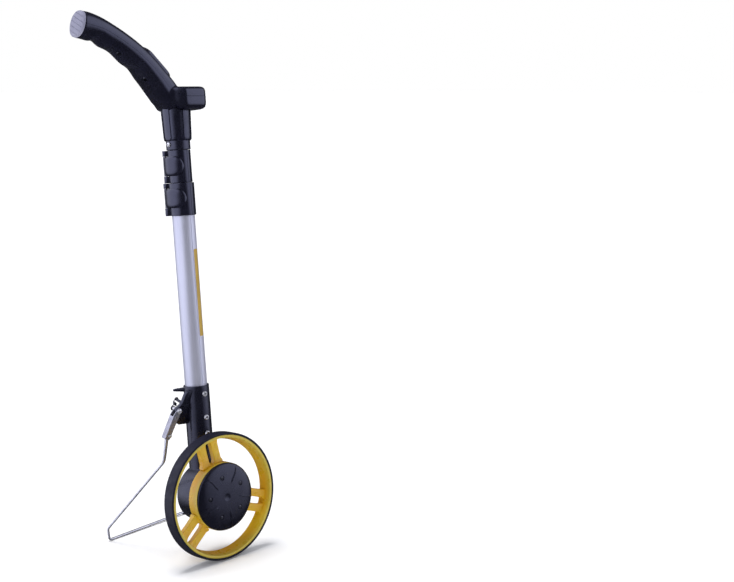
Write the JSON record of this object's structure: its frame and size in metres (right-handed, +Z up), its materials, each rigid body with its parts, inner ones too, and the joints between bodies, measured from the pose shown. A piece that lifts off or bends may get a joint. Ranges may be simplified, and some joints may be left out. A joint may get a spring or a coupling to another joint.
{
  "type": "measuring wheel",
  "caption": "Small distance-measuring wheel leaning on a wire kickstand, with a telescopic pole, clamp levers and a pistol-like handle that holds a display and keypad.",
  "frame": {"origin": "middle of the footprint on the ground", "axes": "+X forward, the way the wheel rolls and away from the user; +Y to the side the stand is on; +Z up"},
  "size_m": [0.2136, 0.1816, 0.669],
  "materials": {
    "battery_sleeve": "printed sleeve",
    "black_plastic": "fine texture, half matt",
    "bright_steel": "bright zinc plate",
    "circuit_board": "solder resist",
    "dark_steel": "blackened",
    "display_screen": "backlit screen",
    "display_window": "clear",
    "grip_cap": "light grey moulding",
    "key_grey": "matt",
    "key_red": "matt",
    "keypad_yellow": "printed film",
    "label_vinyl": "printed film without text",
    "magnet": "sintered ferrite",
    "satin_aluminium": "satin anodised",
    "tyre_rubber": "matt",
    "yellow_plastic": "moulded, half gloss"
  },
  "bodies": {
    "frame": {"bracket": "black_plastic", "drum_cover": "black_plastic", "axle": "bright_steel", "axle_clip": "bright_steel", "axle_nut": "bright_steel", "sensor_board": "circuit_board", "bracket_screw_1": "bright_steel", "bracket_screw_2": "bright_steel", "bracket_screw_3": "bright_steel", "lower_tube": "satin_aluminium", "tube_label": "label_vinyl", "lower_collar": "black_plastic", "lower_lever_pin": "bright_steel", "stand_pivot_pin": "bright_steel", "stand_spring": "dark_steel"},
    "wheel": {"wheel_rim": "yellow_plastic", "tyre": "tyre_rubber", "hub_cap": "black_plastic", "hub_screw_1": "dark_steel", "hub_screw_2": "dark_steel", "hub_screw_3": "dark_steel", "hub_screw_4": "dark_steel", "hub_screw_5": "dark_steel", "bearing_outer": "bright_steel", "bearing_inner": "bright_steel", "magnet_ring": "magnet"},
    "lower_clamp_lever": {"lower_lever": "black_plastic"},
    "middle_section": {"middle_tube": "satin_aluminium", "middle_bush": "black_plastic", "upper_collar": "black_plastic", "upper_lever_pin": "bright_steel"},
    "upper_clamp_lever": {"upper_lever": "black_plastic"},
    "handle": {"upper_tube": "satin_aluminium", "upper_bush": "black_plastic", "neck_socket": "black_plastic", "neck_screw": "bright_steel", "handle_lower_shell": "black_plastic", "handle_upper_shell": "black_plastic", "display_window": "display_window", "display_bezel": "bright_steel", "lcd_module": "display_screen", "main_board": "circuit_board", "keypad_frame": "black_plastic", "keypad_panel": "keypad_yellow", "key_board": "circuit_board", "battery_left": "battery_sleeve", "battery_right": "battery_sleeve", "grip_screw_1": "bright_steel", "grip_screw_2": "bright_steel"},
    "end_cap": {"grip_end_cap": "grip_cap"},
    "button_1": {"key_1": "key_grey"},
    "button_2": {"key_2": "key_grey"},
    "button_3": {"key_3": "key_grey"},
    "button_4": {"key_4": "key_grey"},
    "button_5": {"key_5": "key_red"},
    "kickstand": {"stand_lever": "bright_steel", "stand_rod": "bright_steel", "stand_rod_pin": "bright_steel", "foot_tip": "tyre_rubber"}
  },
  "joints": [
    {"name": "wheel_spin", "type": "hinge", "parent": "frame", "child": "wheel", "pos_m": [0.02721, -0.07381, 0.07987], "axis": [0, 0.9965, -0.0837], "continuous": true},
    {"name": "lower_section_slide", "type": "slide", "parent": "frame", "child": "middle_section", "axis": [0, 0.0837, 0.9965], "range_m": [0, 0.19]},
    {"name": "upper_section_slide", "type": "slide", "parent": "middle_section", "child": "handle", "axis": [0, 0.0837, 0.9965], "range_m": [0, 0.19]},
    {"name": "lower_lever_turn", "type": "hinge", "parent": "frame", "child": "lower_clamp_lever", "pos_m": [0.01278, 0.00205, 0.44521], "axis": [0, -0.0837, -0.9965], "range_deg": [0, 95]},
    {"name": "upper_lever_turn", "type": "hinge", "parent": "middle_section", "child": "upper_clamp_lever", "pos_m": [0.01405, 0.00106, 0.44529], "axis": [0, -0.0837, -0.9965], "range_deg": [0, 95]},
    {"name": "stand_fold", "type": "hinge", "parent": "frame", "child": "kickstand", "pos_m": [-0.00439, -0.03168, 0.18712], "axis": [0, 0.982, 0.1891], "range_deg": [0, 145]},
    {"name": "end_cap_pull", "type": "slide", "parent": "handle", "child": "end_cap", "axis": [-0.9659, 0.0217, 0.2579], "range_m": [0, 0.012]},
    {"name": "button_1_press", "type": "slide", "parent": "handle", "child": "button_1", "axis": [-0.7193, -0.0581, -0.6922], "range_m": [0, 0.0012], "stiffness_N_per_m": 350, "springref_m": -0.001},
    {"name": "button_2_press", "type": "slide", "parent": "handle", "child": "button_2", "axis": [-0.7193, -0.0581, -0.6922], "range_m": [0, 0.0012], "stiffness_N_per_m": 350, "springref_m": -0.001},
    {"name": "button_3_press", "type": "slide", "parent": "handle", "child": "button_3", "axis": [-0.7193, -0.0581, -0.6922], "range_m": [0, 0.0012], "stiffness_N_per_m": 350, "springref_m": -0.001},
    {"name": "button_4_press", "type": "slide", "parent": "handle", "child": "button_4", "axis": [-0.7193, -0.0581, -0.6922], "range_m": [0, 0.0012], "stiffness_N_per_m": 350, "springref_m": -0.001},
    {"name": "button_5_press", "type": "slide", "parent": "handle", "child": "button_5", "axis": [-0.7193, -0.0581, -0.6922], "range_m": [0, 0.0012], "stiffness_N_per_m": 350, "springref_m": -0.001}
  ]
}
